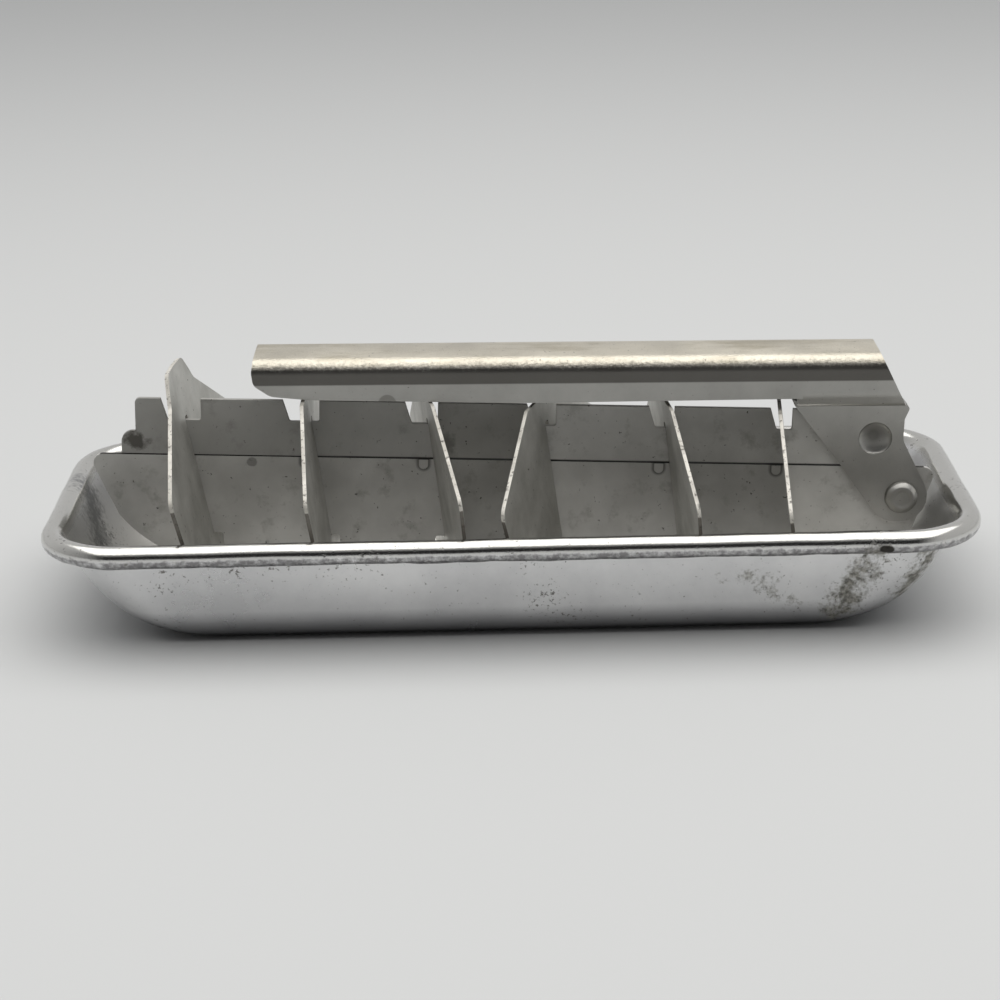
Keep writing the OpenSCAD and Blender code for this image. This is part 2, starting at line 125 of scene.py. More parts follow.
camera = bpy.data.cameras.new("camera")
camera.lens = 88.03
camera.sensor_width = 36
camera.clip_start = 0.05
camera_object = bpy.data.objects.new("camera", camera)
camera_place = (-3.2 * MM, -732.5 * MM, 282.2 * MM)
look_down, roll = 19, -1.2
camera_object.matrix_world = (Matrix.Translation(camera_place)
                              @ Matrix.Rotation(math.radians(90 - look_down), 4, "X")
                              @ Matrix.Rotation(math.radians(roll), 4, "Z"))
bpy.context.scene.collection.objects.link(camera_object)
bpy.context.scene.camera = camera_object
bpy.context.scene.view_settings.view_transform = "Standard"


# ------------------------------------------------------------------------ pan
# One sheet of soft aluminium drawn deep in a press, with leaning walls that run
# into round roots and a rim rolled outwards.  Years of use have dulled, pitted
# and slightly dented it.

# Sizes in mm, angles in degrees.
sheet = 0.8
pan_l, pan_w, pan_h = 286, 112.7, 36
bead_r = 3.5
rim_corner_r, floor_corner_r = 22.5, 14
side_draft, side_root_r = 13.4, 12
end_draft, end_root_r = 25.6, 42.5
rim_start, rim_end = 157.5, -135
bead_z = pan_h - bead_r
lip_z = bead_z + bead_r * math.sin(math.radians(rim_start))

# How finely the rings follow the wall, the rim's bead, its inside and the floor,
# and how many points lie on a corner, a long side and a short one.
wall_steps, bead_steps, lining_steps = 12, 44, 20
floor_shares = (0.04, 0.3, 0.55, 0.8, 0.94)
corner_steps, long_steps, short_steps = 16, 44, 14

# The dents of long use: how deep, how wide, and which layer of the noise.
wall_dent, wall_dent_size, wall_pull, dent_fade = 0.35, 38, 0.12, 12
bead_dent, bead_dent_size, bead_layer = 0.4, 21, 9
rim_sag, rim_sag_size, sag_layer = 0.3, 24, 40
hem_wave, hem_wave_size, hem_layer = 0.5, 6, 70
hem_angle, hem_fade = -20, 50


def wall_at(z, overall, draft, root_r, inset):
    """Half the pan's size at height z: a straight leaning wall over a round root."""
    lean = math.radians(draft)
    lip = overall / 2 - bead_r + bead_r * math.cos(math.radians(rim_start)) + sheet / math.cos(lean)
    root_x = lip - (lip_z - root_r) * math.tan(lean) - root_r / math.cos(lean)
    if z >= root_r - (root_r - inset) * math.sin(lean):
        return lip - (lip_z - z) * math.tan(lean) - inset / math.cos(lean)
    return root_x + math.sqrt(max(0, (root_r - inset) ** 2 - (root_r - z) ** 2))


def wall_ring(z, inset, share=1):
    """A level ring of the wall: half sizes, corner radius, height and no angle."""
    lip_r = rim_corner_r + bead_r * math.cos(math.radians(rim_start)) + sheet
    radius = floor_corner_r + (lip_r - floor_corner_r) * z / lip_z - inset
    return (share * wall_at(z, pan_l, end_draft, end_root_r, inset),
            share * wall_at(z, pan_w, side_draft, side_root_r, inset), share * radius, z, 0)


def bead_ring(angle, inset):
    """A ring along the rolled rim, at an angle of the rim's section."""
    r = bead_r - inset
    out = r * math.cos(math.radians(angle))
    return (pan_l / 2 - bead_r + out, pan_w / 2 - bead_r + out, rim_corner_r + out,
            bead_z + r * math.sin(math.radians(angle)), angle)


def heights(inset):
    """The heights of the wall's rings, which lie closer together in the root."""
    root_top = side_root_r * (1 - math.sin(math.radians(side_draft)))
    last = lip_z - bead_r
    return ([inset + (root_top - inset) * (i / wall_steps) ** 2 for i in range(wall_steps + 1)]
            + [root_top + (last - root_top) * i / wall_steps for i in range(1, wall_steps + 1)])


# From the middle of the floor up the inside, round the rim and back, then down
# the outside and in below.
rim_turn = rim_end - rim_start
rings = [wall_ring(sheet, sheet, share) for share in floor_shares]
rings += [wall_ring(z, sheet) for z in heights(sheet)]
rings += [bead_ring(rim_start + rim_turn * i / bead_steps, 0) for i in range(bead_steps + 1)]
rings += [bead_ring(rim_end - rim_turn * i / lining_steps, sheet) for i in range(lining_steps)]
rings += [wall_ring(z, 0) for z in reversed(heights(0))]
rings += [wall_ring(0, 0, share) for share in reversed(floor_shares)]

# The seats of one ring's points: the side of the pan and the way out from it.
seats = []
corners = ((1, 1), (-1, 1), (-1, -1), (1, -1), (1, 1))
for quarter, steps in enumerate((long_steps, short_steps, long_steps, short_steps)):
    for i in range(corner_steps + 1):
        turn = math.radians(90 * (quarter + i / corner_steps))
        seats.append((*corners[quarter], math.cos(turn), math.sin(turn)))
    side_turn = math.radians(90 * (quarter + 1))
    out = (round(math.cos(side_turn)), round(math.sin(side_turn)))
    for i in range(1, steps):
        share = i / steps
        between = [a + (b - a) * share for a, b in zip(corners[quarter], corners[quarter + 1])]
        seats.append((*between, *out))


def on_ring(seat, ring):
    """Where a seat lies on a ring, with the small dents of long use."""
    half_l, half_w, radius, z, angle = ring
    x = seat[0] * (half_l - radius) + radius * seat[2]
    y = seat[1] * (half_w - radius) + radius * seat[3]
    dent = wall_dent * noise.noise(Vector((x, y, z)) / wall_dent_size) - wall_pull
    if angle:
        dent = -abs(bead_dent * noise.noise(Vector((x, y, bead_layer)) / bead_dent_size))
    height_share = min(1, z / dent_fade)
    if z > lip_z - bead_r:
        z -= rim_sag * abs(noise.noise(Vector((x, y, sag_layer)) / rim_sag_size))
    if angle < hem_angle:
        wave = hem_wave * noise.noise(Vector((x, y, hem_layer)) / hem_wave_size)
        z += wave * min(1, (hem_angle - angle) / hem_fade)
    return Vector((x + seat[2] * dent * height_share, y + seat[3] * dent * height_share, z)) * MM


shape = bmesh.new()
seat_of = shape.verts.layers.int.new("seat")
bmesh.ops.create_circle(shape, cap_ends=True, segments=len(seats), radius=1)
shape.verts.ensure_lookup_table()
for i, point in enumerate(shape.verts):
    point[seat_of] = i
    point.co = on_ring(seats[i], rings[0])
edge_loop = list(shape.edges)
for ring in rings[1:]:
    grown = bmesh.ops.extrude_edge_only(shape, edges=edge_loop)["geom"]
    for point in grown:
        if isinstance(point, bmesh.types.BMVert):
            point.co = on_ring(seats[point[seat_of]], ring)
    edge_loop = [e for e in grown if isinstance(e, bmesh.types.BMEdge) and e.is_boundary]
bmesh.ops.edgeloop_fill(shape, edges=edge_loop)
bmesh.ops.recalc_face_normals(shape, faces=shape.faces)
for face in shape.faces:
    face.smooth = True
pan_mesh = bpy.data.meshes.new("drawn_pan")
shape.to_mesh(pan_mesh)
shape.free()
pan_mesh.set_sharp_from_angle(angle=math.radians(40))
pan = bpy.data.objects.new("drawn_pan", pan_mesh)
bpy.context.scene.collection.objects.link(pan)
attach(pan, "pan")
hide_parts("pan")

# Drawn aluminium gone dull: soft broad reflections, a cloudy oxide and fine
# pits, a scuffed rim, a root darkened with painted shade, and olive-grey
# corrosion in strokes near the end where the lever turns.
drawn, tree, surface = new_finish("drawn_aluminium", Metallic=1.0)
spot = add(tree, "TexCoord")
place = spot.outputs["Object"]


def near_stroke(start, end, reach):
    """1 on the line between two places in mm, falling to 0 at its reach."""
    begin = Vector(start) * MM
    along = Vector(end) * MM - begin
    from_start = add(tree, "VectorMath", {0: place, 1: begin}, operation="SUBTRACT").outputs["Vector"]
    run = add(tree, "VectorMath", {0: from_start, 1: along / along.length_squared},
              operation="DOT_PRODUCT").outputs["Value"]
    share = add(tree, "MapRange", {"Value": run}).outputs[0]
    nearest = add(tree, "VectorMath", {0: along, "Scale": share}, operation="SCALE").outputs["Vector"]
    way = add(tree, "VectorMath", {0: from_start, 1: nearest}, operation="DISTANCE").outputs["Value"]
    return add(tree, "MapRange", {"Value": way, "From Max": reach * MM, "To Min": 1.0,
                                  "To Max": 0.0}).outputs[0]


# Cloudy oxide, and the rubbed top of the rim.  A noise's scale is 1000 over the
# width of its clumps in mm.
cloud = add(tree, "TexNoise", {"Vector": place, "Scale": 1000 / 30, "Detail": 6, "Roughness": 0.6}).outputs[0]
cloud_share = add(tree, "MapRange", {"Value": cloud, "From Min": 0.35, "From Max": 0.68}).outputs[0]
sheen = add(tree, "Mix", {0: cloud_share, 6: paint("#D4D4D5"), 7: paint("#E8E8E8")},
            data_type="RGBA").outputs[2]
tall = add(tree, "SeparateXYZ", {"Vector": place}).outputs["Z"]
polish = add(tree, "MapRange", {"Value": tall, "From Min": 31.5 * MM, "From Max": 33.5 * MM}).outputs[0]
tone = add(tree, "Mix", {0: polish, 6: sheen, 7: paint("#C9C8C4")}, data_type="RGBA").outputs[2]

# Scuffs, thickest in a band round the rim's outer side.
scuff = add(tree, "TexNoise", {"Vector": place, "Scale": 1000 / 2.2, "Detail": 6,
                               "Roughness": 0.7}).outputs[0]
outward = add(tree, "VectorMath", {0: place, 1: (1, 1, 0)}, operation="MULTIPLY").outputs["Vector"]
outer = add(tree, "VectorMath", {0: spot.outputs["Normal"], 1: outward},
            operation="DOT_PRODUCT").outputs["Value"]
on_outside = add(tree, "MapRange", {"Value": outer, "From Max": 8 * MM}).outputs[0]
on_rim = add(tree, "MapRange", {"Value": tall, "From Min": 28.8 * MM, "From Max": 29.4 * MM}).outputs[0]
off_top = add(tree, "MapRange", {"Value": tall, "From Min": 31.8 * MM, "From Max": 33 * MM,
                                 "To Min": 1.0, "To Max": 0.0}).outputs[0]
band = add(tree, "Math", {0: on_rim, 1: off_top}, operation="MULTIPLY").outputs[0]
rim_band = add(tree, "Math", {0: band, 1: on_outside}, operation="MULTIPLY").outputs[0]
rim_pull = add(tree, "MapRange", {"Value": rim_band, "To Min": -0.3, "To Max": 0.1}).outputs[0]
scuff_near = add(tree, "Math", {0: scuff, 1: rim_pull}, operation="ADD").outputs[0]
scuff_share = add(tree, "MapRange", {"Value": scuff_near, "From Min": 0.4, "From Max": 0.66,
                                     "To Max": 0.85}).outputs[0]

# Painted shade on the root outside, standing in for the shadow and dark
# reflection under the tray; and the cleaner metal low inside.
low = add(tree, "MapRange", {"Value": tall, "From Min": 2.5 * MM, "From Max": 11.5 * MM,
                             "To Min": 0.9, "To Max": 0.0}).outputs[0]
root_shade_share = add(tree, "Math", {0: low, 1: on_outside}, operation="MULTIPLY").outputs[0]
painted_shade_tone = add(tree, "Mix", {0: root_shade_share, 6: tone, 7: paint("#58585C")}, data_type="RGBA").outputs[2]
within = add(tree, "MapRange", {"Value": outer, "From Min": -4 * MM, "From Max": 0.0,
                                "To Min": 1.0, "To Max": 0.0}).outputs[0]
deep = add(tree, "MapRange", {"Value": tall, "From Min": 12 * MM, "From Max": 26 * MM,
                              "To Min": 1.0, "To Max": 0.0}).outputs[0]
clean_share = add(tree, "Math", {0: within, 1: deep}, operation="MULTIPLY").outputs[0]
cleaned = add(tree, "Mix", {0: clean_share, 6: painted_shade_tone, 7: paint("#F3F2F0")}, data_type="RGBA").outputs[2]
scuffed = add(tree, "Mix", {0: scuff_share, 6: cleaned, 7: paint("#6F6D6E")}, data_type="RGBA").outputs[2]

# Fine pits, gathered in patches.
speck = add(tree, "TexNoise", {"Vector": place, "Scale": 1000 / 1.4, "Detail": 3,
                               "Roughness": 0.7}).outputs[0]
gathered = add(tree, "TexNoise", {"Vector": place, "Scale": 1000 / 17, "Detail": 2}).outputs[0]
speck_pull = add(tree, "MapRange", {"Value": gathered, "From Min": 0.5, "From Max": 0.72,
                                    "To Min": -0.02, "To Max": 0.09}).outputs[0]
speck_near = add(tree, "Math", {0: speck, 1: speck_pull}, operation="ADD").outputs[0]
speck_share = add(tree, "MapRange", {"Value": speck_near, "From Min": 0.64, "From Max": 0.72}).outputs[0]
speckled = add(tree, "Mix", {0: speck_share, 6: scuffed, 7: paint("#82807D")}, data_type="RGBA").outputs[2]

# Corrosion in three strokes down the outside, the last one fainter.
main_stroke = near_stroke((108.5, -53.5, 29.0), (98.4, -44.2, 7.0), 11)
corner_stroke = near_stroke((126.5, -45.5, 26.5), (117.0, -41.4, 11.0), 9)
side_stroke = near_stroke((66.0, -50.0, 22.5), (83.0, -46.5, 13.0), 11)
faint_stroke = add(tree, "Math", {0: side_stroke, 1: 0.55}, operation="MULTIPLY").outputs[0]
nearest_stroke = main_stroke
for other in (corner_stroke, faint_stroke):
    nearest_stroke = add(tree, "Math", {0: nearest_stroke, 1: other}, operation="MAXIMUM").outputs[0]
blotch = add(tree, "TexNoise", {"Vector": place, "Scale": 1000 / 4, "Detail": 9,
                                "Roughness": 0.75}).outputs[0]
stroke_pull = add(tree, "MapRange", {"Value": nearest_stroke, "To Min": -0.14, "To Max": 0.24}).outputs[0]
blotch_near = add(tree, "Math", {0: blotch, 1: stroke_pull}, operation="ADD").outputs[0]
patch = add(tree, "MapRange", {"Value": blotch_near, "From Min": 0.54, "From Max": 0.7,
                               "To Max": 0.9}).outputs[0]
crumb = add(tree, "TexNoise", {"Vector": place, "Scale": 1000 / 1.6, "Detail": 5,
                               "Roughness": 0.7}).outputs[0]
crumb_share = add(tree, "MapRange", {"Value": crumb, "From Min": 0.38, "From Max": 0.62}).outputs[0]
crust = add(tree, "Mix", {0: crumb_share, 6: paint("#5D5B53"), 7: paint("#B0AEA6")},
            data_type="RGBA").outputs[2]

# A scraped patch inside the left end, the corrosion over it, and a dark nick on
# the rim.
scraped = near_stroke((-135, 12, 31), (-129, -8, 19), 16)
scrape_pull = add(tree, "MapRange", {"Value": scraped, "To Min": -0.3, "To Max": 0.25}).outputs[0]
scrape_near = add(tree, "Math", {0: scuff, 1: scrape_pull}, operation="ADD").outputs[0]
scrape_share = add(tree, "MapRange", {"Value": scrape_near, "From Min": 0.42, "From Max": 0.72,
                                      "To Max": 0.8}).outputs[0]
scraped_tone = add(tree, "Mix", {0: scrape_share, 6: speckled, 7: paint("#5F6164")},
                   data_type="RGBA").outputs[2]
corroded = add(tree, "Mix", {0: patch, 6: scraped_tone, 7: crust}, data_type="RGBA").outputs[2]
nick = near_stroke((109.8, -56.2, 31.4), (111.6, -56.0, 31.2), 1.6)
nick_share = add(tree, "MapRange", {"Value": nick, "From Min": 0.05, "From Max": 0.35}).outputs[0]
nicked = add(tree, "Mix", {0: nick_share, 6: corroded, 7: paint("#3E3C39")}, data_type="RGBA").outputs[2]
tree.links.new(nicked, surface.inputs["Base Color"])

# Smoothest on the rim and roughest where corroded.  The grain is drawn coarser
# than the real one, here and on the other pieces, so that it shows.
rough = add(tree, "MapRange", {"Value": cloud, "From Min": 0.3, "From Max": 0.7,
                               "To Min": 0.26, "To Max": 0.34}).outputs[0]
rough_rim = add(tree, "Mix", {0: polish, 2: rough, 3: 0.17}, data_type="FLOAT").outputs[0]
rough_patch = add(tree, "Mix", {0: patch, 2: rough_rim, 3: 0.75}, data_type="FLOAT").outputs[0]
tree.links.new(rough_patch, surface.inputs["Roughness"])
grain = add(tree, "TexNoise", {"Vector": place, "Scale": 1000 / 0.9, "Detail": 4,
                               "Roughness": 0.6}).outputs[0]
uneven = add(tree, "Math", {0: grain, 1: speck_share}, operation="SUBTRACT").outputs[0]
worn = add(tree, "Math", {0: uneven, 1: scuff_share}, operation="SUBTRACT").outputs[0]
relief = add(tree, "Bump", {"Height": worn, "Strength": 0.3, "Distance": 0.1 * MM}).outputs[0]
tree.links.new(relief, surface.inputs["Normal"])
pan_mesh.materials.append(drawn)


# -------------------------------------------------------- lower divider plate
# A blanked sheet that stands in the pan on edge: notched below for the fins'
# feet, with a pressed lug under each notch above.  Matt, grey and water-marked.


def finished_copy(node, name, body, edge=0.15, crease=32):
    """A merged copy of a CAD node in its place, its sharp edges lightly broken.

    The edge's break is in mm, and the crease is the angle above which it shades sharp.
    """
    same_point, same_plane, sharp_corner = 0.001 * MM, math.radians(0.5), math.radians(50)
    mesh = bpy.data.meshes.new(name)
    shape = bmesh.new()
    shape.from_mesh(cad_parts[node].data)
    bmesh.ops.remove_doubles(shape, verts=shape.verts, dist=same_point)
    bmesh.ops.dissolve_limit(shape, angle_limit=same_plane, verts=shape.verts, edges=shape.edges)
    sharp = [e for e in shape.edges if e.is_manifold and e.calc_face_angle() > sharp_corner]
    if edge:
        bmesh.ops.bevel(shape, geom=sharp, offset=edge * MM, offset_type="OFFSET", segments=2, profile=0.5,
                        affect="EDGES", material=-1, clamp_overlap=True)
    bmesh.ops.triangulate(shape, faces=shape.faces)
    for face in shape.faces:
        face.smooth = True
    shape.to_mesh(mesh)
    shape.free()
    mesh.set_sharp_from_angle(angle=math.radians(crease))
    piece = bpy.data.objects.new(name, mesh)
    bpy.context.scene.collection.objects.link(piece)
    flatter = piece.modifiers.new("flat faces keep their own shade", "WEIGHTED_NORMAL")
    flatter.keep_sharp = True
    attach(piece, body)
    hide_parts(node)
    return piece


# Its edges stay unbroken, and the low crease angle keeps a light streak off its
# face.
lower_plate = finished_copy("lower_divider_plate", "lower_divider_plate_sheet", "grid",
                            edge=0, crease=12)

# Old rolled aluminium sheet: a matt grey oxide with paler and darker clouds,
# smudges where water dried, and small dark specks.  Painted shade lies in the
# crease round each pressed lug and along the split, and darkens the sliding
# plate towards the lever's free end, where less light falls.
plate_finish, tree, surface = new_finish("oxidised_rolled_aluminium", Metallic=0.6)
place = add(tree, "TexCoord").outputs["Object"]
cloud = add(tree, "TexNoise", {"Vector": place, "Scale": 1000 / 26, "Detail": 5,
                               "Roughness": 0.55}).outputs[0]
cloud_share = add(tree, "MapRange", {"Value": cloud, "From Min": 0.35, "From Max": 0.65}).outputs[0]
tone = add(tree, "Mix", {0: cloud_share, 6: paint("#B6B5B1"), 7: paint("#D4D3CF")},
           data_type="RGBA").outputs[2]
smudge = add(tree, "TexNoise", {"Vector": place, "Scale": 1000 / 9, "Detail": 7, "Roughness": 0.7}).outputs[0]
smudge_share = add(tree, "MapRange", {"Value": smudge, "From Min": 0.55, "From Max": 0.72,
                                      "To Max": 0.55}).outputs[0]
smudged = add(tree, "Mix", {0: smudge_share, 6: tone, 7: paint("#7D7B73")}, data_type="RGBA").outputs[2]
speck = add(tree, "TexNoise", {"Vector": place, "Scale": 1000 / 1.6, "Detail": 2,
                               "Roughness": 0.7}).outputs[0]
speck_share = add(tree, "MapRange", {"Value": speck, "From Min": 0.69, "From Max": 0.75}).outputs[0]
speckled = add(tree, "Mix", {0: speck_share, 6: smudged, 7: paint("#4A4843")}, data_type="RGBA").outputs[2]

# The grid rests tipped, so the patterns below run along it and upright from it.
grid_tip = math.radians(2.26)
tipped_x = (math.cos(grid_tip), 0, -math.sin(grid_tip))
tipped_z = (math.sin(grid_tip), 0, math.cos(grid_tip))
along = add(tree, "VectorMath", {0: place, 1: tipped_x}, operation="DOT_PRODUCT").outputs["Value"]
upright = add(tree, "VectorMath", {0: place, 1: tipped_z}, operation="DOT_PRODUCT").outputs["Value"]
split = 43.27 * MM

# Painted shade round each pressed lug, one lug to each pitch of the fins.
fin_pitch, lug_at = 37.03 * MM, -28.71 * MM
lug_drop, lug_edge, lug_shade_start, lug_shade_end = 1.7 * MM, 1.6 * MM, 1.3 * MM, 2.6 * MM
lug = add(tree, "Math", {0: along, 1: lug_at + fin_pitch / 2, 2: lug_at - fin_pitch / 2},
          operation="WRAP").outputs[0]
lug_side = add(tree, "Math", {0: lug, 1: lug_at}, operation="SUBTRACT").outputs[0]
lug_height = add(tree, "Math", {0: upright, 1: split - lug_drop}, operation="SUBTRACT").outputs[0]
lug_rise = add(tree, "Math", {0: lug_height, 1: 0.0}, operation="MINIMUM").outputs[0]
lug_from = add(tree, "CombineXYZ", {0: lug_side, 1: lug_rise}).outputs[0]
lug_way = add(tree, "VectorMath", {0: lug_from}, operation="LENGTH").outputs["Value"]
lug_ring = add(tree, "MapRange", {"Value": lug_way, "From Min": lug_shade_start, "From Max": lug_edge}).outputs[0]
lug_fade = add(tree, "MapRange", {"Value": lug_way, "From Min": lug_edge, "From Max": lug_shade_end,
                                  "To Min": 0.75, "To Max": 0.0}).outputs[0]
under_split = add(tree, "Math", {0: upright, 1: split}, operation="LESS_THAN").outputs[0]
ring_low = add(tree, "Math", {0: lug_ring, 1: under_split}, operation="MULTIPLY").outputs[0]
lug_shade_share = add(tree, "Math", {0: ring_low, 1: lug_fade}, operation="MULTIPLY").outputs[0]
lug_shaded = add(tree, "Mix", {0: lug_shade_share, 6: speckled, 7: paint("#34322F")}, data_type="RGBA").outputs[2]

# The sliding plate lies over the split: painted shade darkens it to the left,
# where less light falls, and lies as a dark line along its lower edge to the
# right, in the split.
over_split = add(tree, "Math", {0: upright, 1: split}, operation="GREATER_THAN").outputs[0]
leftward = add(tree, "MapRange", {"Value": along, "From Min": 30 * MM, "From Max": -90 * MM,
                                  "To Max": 0.5}).outputs[0]
left_shade_share = add(tree, "Math", {0: over_split, 1: leftward}, operation="MULTIPLY").outputs[0]
painted_shade_tone = add(tree, "Mix", {0: left_shade_share, 6: lug_shaded, 7: paint("#7B7A76")}, data_type="RGBA").outputs[2]
line_top, line_end = split + 0.5 * MM, split + 0.8 * MM
near_split = add(tree, "MapRange", {"Value": upright, "From Min": line_top, "From Max": line_end,
                                    "To Min": 0.9, "To Max": 0.0}).outputs[0]
rightward = add(tree, "MapRange", {"Value": along, "From Min": -66 * MM, "From Max": -52 * MM}).outputs[0]
split_line = add(tree, "Math", {0: near_split, 1: rightward}, operation="MULTIPLY").outputs[0]
split_line_share = add(tree, "Math", {0: split_line, 1: over_split}, operation="MULTIPLY").outputs[0]
split_shaded = add(tree, "Mix", {0: split_line_share, 6: painted_shade_tone, 7: paint("#242220")}, data_type="RGBA").outputs[2]

# Three dark marks: the middle, where it fades from and to in mm, its share and
# colour.  The first is painted shade standing in for a dark hole at the free
# end; the other two are deposits.
dark_marks = (((-117.5, -1, 52.2), 1.0, 7.5, 0.9, "#55524D"),
            ((-80.9, -1, 44.6), 1.2, 2.2, 0.5, "#4A4843"),
            ((-20.0, -1, 50.0), 1.0, 6.5, 0.55, "#6B6963"))
marked = split_shaded
for centre, inner, reach, share, mark_colour in dark_marks:
    way = add(tree, "VectorMath", {0: place, 1: Vector(centre) * MM}, operation="DISTANCE").outputs["Value"]
    near = add(tree, "MapRange", {"Value": way, "From Min": inner * MM, "From Max": reach * MM,
                                  "To Min": 0.22, "To Max": -0.2}).outputs[0]
    mottle = add(tree, "Math", {0: smudge, 1: near}, operation="ADD").outputs[0]
    mark_share = add(tree, "MapRange", {"Value": mottle, "From Min": 0.5, "From Max": 0.64,
                                        "To Max": share}).outputs[0]
    marked = add(tree, "Mix", {0: mark_share, 6: marked, 7: paint(mark_colour)}, data_type="RGBA").outputs[2]
tree.links.new(marked, surface.inputs["Base Color"])
rough = add(tree, "MapRange", {"Value": cloud, "From Min": 0.3, "From Max": 0.7,
                               "To Min": 0.48, "To Max": 0.62}).outputs[0]
tree.links.new(rough, surface.inputs["Roughness"])
grain = add(tree, "TexNoise", {"Vector": place, "Scale": 1000 / 0.8, "Detail": 3,
                               "Roughness": 0.6}).outputs[0]
relief = add(tree, "Bump", {"Height": grain, "Strength": 0.2, "Distance": 0.08 * MM}).outputs[0]
tree.links.new(relief, surface.inputs["Normal"])
lower_plate.data.materials.append(plate_finish)

# Black painted shade on the edges in the narrow split, where the two plates
# rub along each other.
split_shade, tree, surface = new_finish("split_edge_painted_shade", Roughness=0.8, Metallic=0.3)
surface.inputs["Base Color"].default_value = paint("#2E2C29")


def shade_split_edge(plate, way):
    """Blackens the plate's long edge that faces up (1) or down (-1)."""
    plate.data.materials.append(split_shade)
    nearly_upright = 0.99
    for face in plate.data.polygons:
        if face.normal.z * way > nearly_upright:
            face.material_index = 1


shade_split_edge(lower_plate, 1)


# ------------------------------------------------------ sliding divider plate
# A second blanked sheet that runs along the lower one's top edge, with an open
# notch for each fin and a slot for the lever's bosses.

sliding_plate = finished_copy("sliding_divider_plate", "sliding_divider_plate_sheet", "slide_plate")
sliding_plate.data.materials.append(plate_finish)
shade_split_edge(sliding_plate, -1)


# ----------------------------------------------------------------- cross fins
# Six blanked fins, each with an upright slot that the two plates pass through.
# The shears left their edges bright and torn.

# Matt faces: the plates' oxide, a little more metallic, with small dark specks.
fin_face, tree, surface = new_finish("matt_aluminium_sheet", Metallic=0.85)
place = add(tree, "TexCoord").outputs["Object"]
cloud = add(tree, "TexNoise", {"Vector": place, "Scale": 1000 / 16, "Detail": 5, "Roughness": 0.6}).outputs[0]
cloud_share = add(tree, "MapRange", {"Value": cloud, "From Min": 0.35, "From Max": 0.65}).outputs[0]
tone = add(tree, "Mix", {0: cloud_share, 6: paint("#AFAEA8"), 7: paint("#CFCEC9")},
           data_type="RGBA").outputs[2]
speck = add(tree, "TexNoise", {"Vector": place, "Scale": 1000 / 1.5, "Detail": 2,
                               "Roughness": 0.7}).outputs[0]
speck_share = add(tree, "MapRange", {"Value": speck, "From Min": 0.69, "From Max": 0.75}).outputs[0]
speckled = add(tree, "Mix", {0: speck_share, 6: tone, 7: paint("#454340")}, data_type="RGBA").outputs[2]
tree.links.new(speckled, surface.inputs["Base Color"])
surface.inputs["Roughness"].default_value = 0.5
grain = add(tree, "TexNoise", {"Vector": place, "Scale": 1000 / 0.8, "Detail": 3}).outputs[0]
relief = add(tree, "Bump", {"Height": grain, "Strength": 0.2, "Distance": 0.08 * MM}).outputs[0]
tree.links.new(relief, surface.inputs["Normal"])

# Sheared edges: pale torn metal with black pits, painted a darker brown as
# shade where they face down.
fin_edge, tree, surface = new_finish("sheared_aluminium_edge", Metallic=0.4, Roughness=0.55)
spot = add(tree, "TexCoord")
place = spot.outputs["Object"]
pit = add(tree, "TexNoise", {"Vector": place, "Scale": 1000 / 1.7, "Detail": 4, "Roughness": 0.75}).outputs[0]
pit_share = add(tree, "MapRange", {"Value": pit, "From Min": 0.54, "From Max": 0.66}).outputs[0]
wear = add(tree, "TexNoise", {"Vector": place, "Scale": 1000 / 8, "Detail": 3, "Roughness": 0.6}).outputs[0]
wear_share = add(tree, "MapRange", {"Value": wear, "From Min": 0.4, "From Max": 0.62}).outputs[0]
torn = add(tree, "Mix", {0: wear_share, 6: paint("#D6D3CB"), 7: paint("#B9B6AE")},
           data_type="RGBA").outputs[2]
pitted = add(tree, "Mix", {0: pit_share, 6: torn, 7: paint("#4A4743")}, data_type="RGBA").outputs[2]
facing = add(tree, "SeparateXYZ", {"Vector": spot.outputs["Normal"]}).outputs["Z"]
face_down_shade = add(tree, "MapRange", {"Value": facing, "From Min": -0.05, "From Max": -0.14,
                                 "To Max": 0.85}).outputs[0]
tone = add(tree, "Mix", {0: face_down_shade, 6: pitted, 7: paint("#55504A")}, data_type="RGBA").outputs[2]
tree.links.new(tone, surface.inputs["Base Color"])
relief = add(tree, "Bump", {"Height": pit, "Strength": 0.5, "Distance": 0.15 * MM}, invert=True).outputs[0]
tree.links.new(relief, surface.inputs["Normal"])

# A face within about 53 degrees of the fin's largest one counts as flat, and
# the others as sheared edge.
fin_count, flat_share = 6, 0.6
for number in range(1, fin_count + 1):
    fin = finished_copy(f"cross_fin_{number}", f"cross_fin_{number}_sheet", f"fin_{number}")
    fin.data.materials.append(fin_face)
    fin.data.materials.append(fin_edge)
    flat = max(fin.data.polygons, key=lambda face: face.area).normal.copy()
    for face in fin.data.polygons:
        face.material_index = 0 if abs(face.normal.dot(flat)) > flat_share else 1


# ---------------------------------------------------------------------- lever
# One sheet pressed into a channel-shaped handle whose skirts draw in to two
# flat ears.  A boss pressed in from each ear drives the sliding plate.

lever = finished_copy("lever", "pressed_lever", "lever", edge=0.2)

